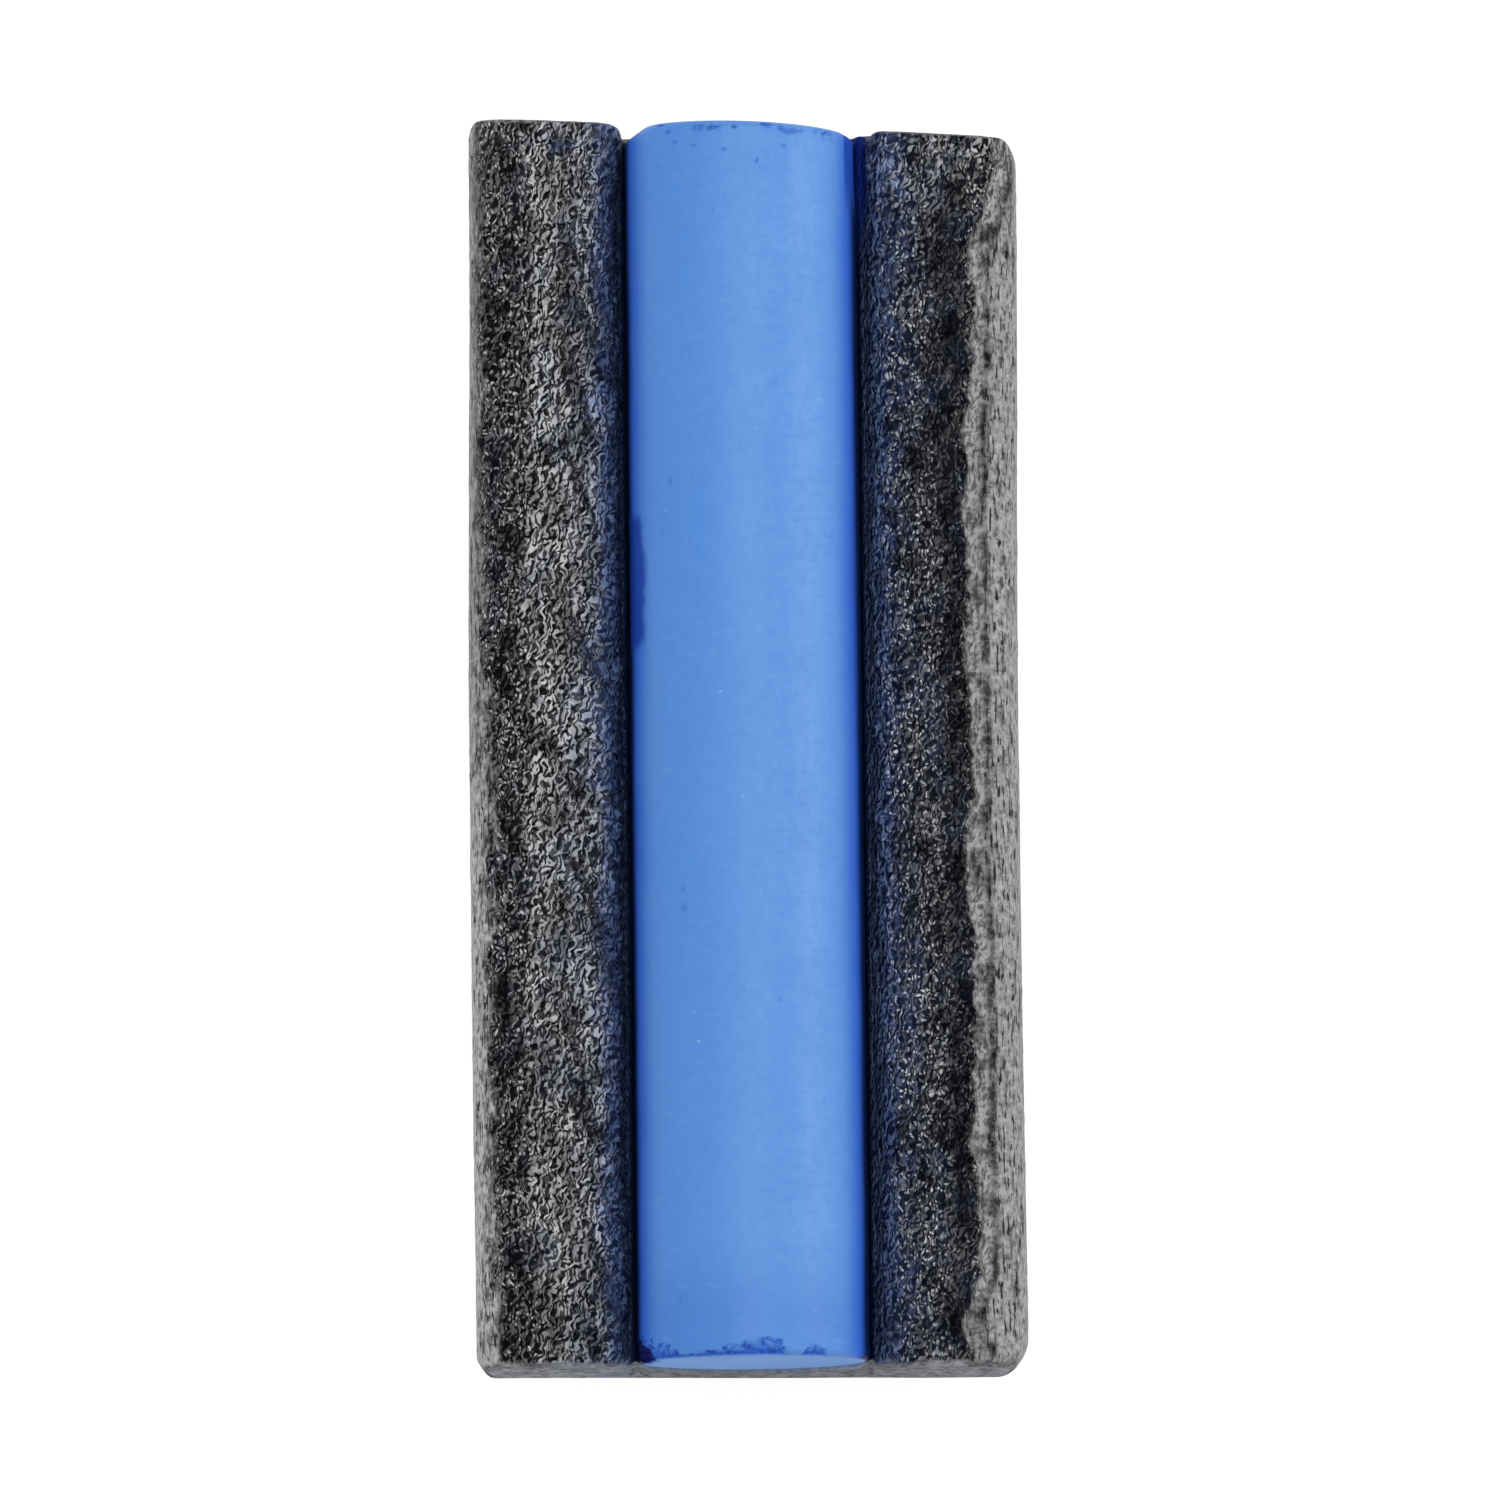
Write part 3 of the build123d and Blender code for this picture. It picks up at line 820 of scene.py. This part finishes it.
    # painted light: the bead's lobes and the lower walls take their own tone, partly shaded by the painted emboss light
    tone = t.mix(t.math("MULTIPLY", bead, 0.9), tone, t.ramp(t.math("MULTIPLY_ADD", emboss_light, 0.25, t.math("MULTIPLY", pebble, 0.75)), [(0.36, (0.10, 0.10, 0.10)), (0.46, (0.26, 0.26, 0.257)), (0.60, (0.44, 0.44, 0.432))]))
    # painted shade in the gutter beside the bead
    tone = t.mix(t.math("MULTIPLY", gutter, t.ramp(pebble, [(0.40, 1.0), (0.60, 0.55)])), tone, (0.030, 0.030, 0.030))
    grey = t.mix(t.math("MULTIPLY", slit, t.math("MULTIPLY_ADD", bead, -0.8, 0.96)), tone, (0.010, 0.010, 0.011))
    crumb = t.noise(mm, 3.4, 2.0, 0.60).outputs["Fac"]
    torn = t.mix(t.ramp(t.lerp(0.45, fibre, crumb), [(0.40, 0.0), (0.59, 1.0)]), (0.080, 0.083, 0.094), (0.40, 0.405, 0.43))
    grey = t.mix(end, grey, torn)
    colour = t.mix(skin, colour, grey)
    # blue chalk rubbed in, lighter blue where the painted highlights fall
    dust = t.noise(flat, 1.9, 3.0, 0.65, flat=True).outputs["Fac"]
    blue_amount = t.math("MULTIPLY", t.math("MULTIPLY", stain, t.ramp(dust, [(0.28, 0.35), (0.7, 1.0)])), t.math("MULTIPLY_ADD", glint, -0.9, 1.0), clamp=True)
    colour = t.mix(blue_amount, colour, t.mix(t.math("MULTIPLY_ADD", t.ramp(dust, [(0.38, 0.0), (0.70, 0.20)]), t.math("MULTIPLY", stain, stain), lit, clamp=True), (0.0065, 0.014, 0.055), (0.15, 0.24, 0.47)))
    # painted shade in holes, slits, the trench and the gutter
    colour = t.mix(t.math("MULTIPLY", cavity_shade, 0.85), colour, (0.003, 0.003, 0.004))
    # the blue-stained bank beside the groove, in a dark and a light blue set by the painted emboss light and the dust
    colour = t.mix(t.math("MULTIPLY", bank, 0.68), colour, t.mix(t.ramp(t.math("MULTIPLY_ADD", emboss_light, 0.5, t.math("MULTIPLY", dust, 0.5)), [(0.40, 0.0), (0.68, 1.0)]), (0.009, 0.019, 0.066), (0.13, 0.20, 0.39)))
    # painted shade in the gap beside the stick, near black with a blue tint
    colour = t.mix(crevice_shade, colour, (0.0030, 0.0075, 0.030))
    # chalk blue in the far right gap, darkened as painted shade
    colour = t.mix(smear_and_shade, colour, (0.007, 0.024, 0.19))
    # chalk dust on the ledge and near end, the ledge lifted by painted light
    colour = t.mix(ledge_dust_and_light, colour, t.mix(t.ramp(fibre, [(0.35, 0.60), (0.65, 0.35)]), torn, (0.34, 0.46, 0.68)))
    t.link(colour, t.bsdf.inputs["Base Color"])

    rough = t.lerp(skin, t.lerp(pebble, 0.26, 0.44), 0.55)
    rough = t.lerp(cavity_shade, rough, 0.8)
    t.link(rough, t.bsdf.inputs["Roughness"])
    hidden = t.math("MAXIMUM", cavity_shade, crevice_shade)
    t.link(t.lerp(t.math("MAXIMUM", hidden, end), t.lerp(skin, 0.08, 0.18), 0.01), t.bsdf.inputs["Specular IOR Level"])
    return t.material


def chalk_material():
    t = Tree("blue_chalk_satin")
    chip, rub_and_shade, pit, end, notch, tuck_shade, deep_shade, highlight_band, near_end_darker, facing_right = (
        t.attribute(k) for k in ("chip", "rub_and_shade", "pit", "endface", "notch", "tuck_shade", "deep_shade", "band", "near_end_darker", "facing_right"))
    mm = t.coords((1000, 1000, 1000))
    axial = t.coords((1000, 90, 1000))
    round_about = t.coords((120, 1000, 120))

    band = t.noise(axial, 0.55, 2.0, 0.5).outputs["Fac"]
    turn = t.noise(round_about, 3.4, 2.0, 0.55).outputs["Fac"]
    cloud = t.noise(mm, 0.22, 2.0, 0.5).outputs["Fac"]
    grain = t.noise(mm, 11.0, 1.0, 0.6).outputs["Fac"]
    # painted light: the side facing right, towards the lamp, is a lighter blue
    blue = t.mix(t.ramp(facing_right, [(0.10, 0.0), (0.62, 1.0), (0.80, 1.0), (0.90, 0.20)]), (0.092, 0.272, 0.745), (0.142, 0.362, 0.800))
    blue = t.mix(t.ramp(band, [(0.36, 0.28), (0.64, 0.0)]), blue, (0.085, 0.265, 0.745))
    # painted highlight band along the right shoulder
    blue = t.mix(t.math("MULTIPLY", highlight_band, 0.20), blue, (0.27, 0.46, 0.80))
    blue = t.mix(t.ramp(cloud, [(0.35, 0.0), (0.65, 0.45)]), blue, (0.112, 0.300, 0.730))
    blue = t.mix(t.math("MULTIPLY", t.ramp(turn, [(0.45, 0.0), (0.75, 1.0)]), 0.10), blue, (0.085, 0.25, 0.68))
    # darker towards the near end
    blue = t.mix(t.math("MULTIPLY", near_end_darker, t.ramp(cloud, [(0.3, 0.30), (0.7, 0.65)])), blue, (0.060, 0.205, 0.63))
    mottle = t.noise(t.coords((1300, 800, 1300)), 1.5, 2.0, 0.65).outputs["Fac"]
    blue = t.mix(t.ramp(mottle, [(0.34, 0.30), (0.56, 0.0)]), blue, (0.084, 0.258, 0.705))
    # scratches round the stick, and a few pale specks
    scratch = t.noise(t.coords((520, 2300, 520)), 1.7, 2.0, 0.62).outputs["Fac"]
    blue = t.mix(t.math("MULTIPLY", t.ramp(scratch, [(0.58, 0.0), (0.74, 1.0)]), t.ramp(cloud, [(0.40, 0.04), (0.62, 0.22)])), blue, (0.21, 0.45, 0.86))
    blue = t.mix(t.math("MULTIPLY", t.ramp(scratch, [(0.26, 1.0), (0.44, 0.0)]), t.ramp(facing_right, [(0.35, 0.18), (0.75, 0.42)])), blue, (0.078, 0.245, 0.69))
    dots = t.voronoi(t.warp(mm, t.noise(mm, 1.3, 2.0, 0.6), 1.6), 0.75)
    rare = t.ramp(t.red(dots.outputs["Color"]), [(0.66, 0.0), (0.98, 1.0)])
    fleck = t.math("MULTIPLY", t.ramp(dots.outputs["Distance"], [(0.0, 1.0), (0.045, 0.9), (0.075, 0.0)]), rare)
    blue = t.mix(t.math("MULTIPLY", fleck, 0.75), blue, (0.50, 0.66, 0.90))
    # sparse pits
    blue = t.mix(t.math("MULTIPLY", pit, 0.7), blue, (0.045, 0.14, 0.52))
    layers = t.noise(t.coords((110, 110, 620)), 1.0, 3.0, 0.60).outputs["Fac"]
    pale = t.mix(t.ramp(layers, [(0.36, 0.0), (0.66, 1.0)]), (0.135, 0.36, 0.85), (0.185, 0.42, 0.89))
    blue = t.mix(t.math("MULTIPLY", end, 0.8), blue, pale)
    # chips are a darker, deeper blue
    chip_dark = t.mix(t.ramp(t.noise(mm, 4.5, 3.0, 0.6).outputs["Fac"], [(0.35, 0.0), (0.65, 1.0)]), (0.010, 0.030, 0.36), (0.040, 0.15, 0.66))
    # painted shade: deeper blue where the sides turn into the groove
    blue = t.mix(t.math("MULTIPLY", tuck_shade, 0.75), blue, (0.022, 0.095, 0.66))
    blue = t.mix(t.math("MULTIPLY", chip, 0.85), blue, chip_dark)
    # the rubbed patch is worn darker, and the far right facet is painted shade
    blue = t.mix(t.math("MULTIPLY", rub_and_shade, t.ramp(cloud, [(0.3, 0.8), (0.7, 1.0)])), blue, (0.014, 0.062, 0.42))
    # painted shade: near black deepest in the groove
    blue = t.mix(t.math("MULTIPLY", deep_shade, 0.93), blue, (0.0010, 0.0035, 0.020))
    blue = t.mix(t.math("MULTIPLY", notch, 0.9), blue, t.mix(t.ramp(t.noise(mm, 3.0, 2.0, 0.6).outputs["Fac"], [(0.42, 0.0), (0.66, 1.0)]), (0.013, 0.008, 0.085), (0.020, 0.050, 0.42)))
    t.link(blue, t.bsdf.inputs["Base Color"])
    rough = t.lerp(band, 0.36, 0.46)
    rough = t.lerp(t.math("MAXIMUM", chip, rub_and_shade), rough, 0.75)
    t.link(rough, t.bsdf.inputs["Roughness"])
    t.link(t.lerp(t.math("MAXIMUM", t.math("MAXIMUM", tuck_shade, deep_shade), t.math("MAXIMUM", end, chip)), 0.18, 0.01), t.bsdf.inputs["Specular IOR Level"])
    height = t.math("MULTIPLY_ADD", grain, 0.35, t.math("MULTIPLY", turn, 0.4))
    height = t.math("MULTIPLY_ADD", t.math("MULTIPLY", chip, t.noise(mm, 6.0, 3.0, 0.6).outputs["Fac"]), 3.0, height)
    t.link(t.bump(height, 0.00004, 0.5), t.bsdf.inputs["Normal"])
    return t.material


# --------------------------------------------------------------------------
# the two pieces
# --------------------------------------------------------------------------
foam = build_foam()
foam.data.materials.append(foam_material())
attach(foam, "root")
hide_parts("foam_holder")

chalk = build_chalk()
chalk.data.materials.append(chalk_material())
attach(chalk, "root")
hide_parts("chalk_stick")


# --------------------------------------------------------------------------
# floor, lights, camera
# --------------------------------------------------------------------------
scene = bpy.context.scene

floor_mesh = bpy.data.meshes.new("floor")
floor_mesh.from_pydata([(-3, -3, 0), (3, -3, 0), (3, 3, 0), (-3, 3, 0)], [], [(0, 1, 2, 3)])
floor = bpy.data.objects.new("floor", floor_mesh)
scene.collection.objects.link(floor)
paper = Tree("white_table")
paper.bsdf.inputs["Base Color"].default_value = (0.15, 0.15, 0.15, 1)
paper.bsdf.inputs["Roughness"].default_value = 0.9
paper.bsdf.inputs["Specular IOR Level"].default_value = 0.0
paper.bsdf.inputs["Emission Color"].default_value = (1, 1, 1, 1)
paper.bsdf.inputs["Emission Strength"].default_value = 0.93
paper.material.cycles.emission_sampling = "NONE"
floor_mesh.materials.append(paper.material)

world = bpy.data.worlds.new("tent")
scene.world = world
world.use_nodes = True
world.node_tree.nodes["Background"].inputs["Color"].default_value = (1, 1, 1, 1)
world.node_tree.nodes["Background"].inputs["Strength"].default_value = 0.18


def softbox(name, place, size, watts, aim=(0, 0, 0.008)):
    data = bpy.data.lights.new(name, "AREA")
    data.shape = "RECTANGLE"
    data.size, data.size_y = size
    data.energy = watts
    ob = bpy.data.objects.new(name, data)
    scene.collection.objects.link(ob)
    ob.location = place
    ob.rotation_mode = "QUATERNION"
    ob.rotation_quaternion = (Vector(aim) - Vector(place)).to_track_quat("-Z", "Y")
    ob.visible_camera = False
    return ob


softbox("overhead", (0.02, 0.05, 0.62), (0.40, 0.56), 2.35)
softbox("key_right", (0.48, 0.05, 0.24), (0.16, 0.50), 1.05)
softbox("fill_left", (-0.55, 0.0, 0.25), (0.2, 0.6), 0.98).visible_glossy = False

cam_data = bpy.data.cameras.new("camera")
cam = bpy.data.objects.new("camera", cam_data)
scene.collection.objects.link(cam)
scene.camera = cam
PIXELS = 1500.0
FOCAL = 13350.4  # in pixels of the 1500 px frame
cam_data.sensor_fit = "HORIZONTAL"
cam_data.sensor_width = 36.0
cam_data.lens = 36.0 * FOCAL / PIXELS
cam_data.dof.use_dof = False
back = Vector((0.0, -0.1007, 1.0)).normalized()
aim = Vector((0.1739, 0.5891, 0.0)) * MM
cam.location = aim + back * 0.700
up = Vector((0, 1, 0))
up = (up - back * up.dot(back)).normalized()
right = up.cross(back)
roll = 0.0117
up2 = up * math.cos(roll) + right * math.sin(roll)
right2 = right * math.cos(roll) - up * math.sin(roll)
cam.rotation_mode = "QUATERNION"
cam.rotation_quaternion = Matrix((right2, up2, back)).transposed().to_quaternion()
cam_data.clip_start, cam_data.clip_end = 0.01, 20.0

scene.view_settings.view_transform = "Standard"
scene.view_settings.look = "None"
scene.view_settings.exposure = 0.0
scene.view_settings.gamma = 1.0
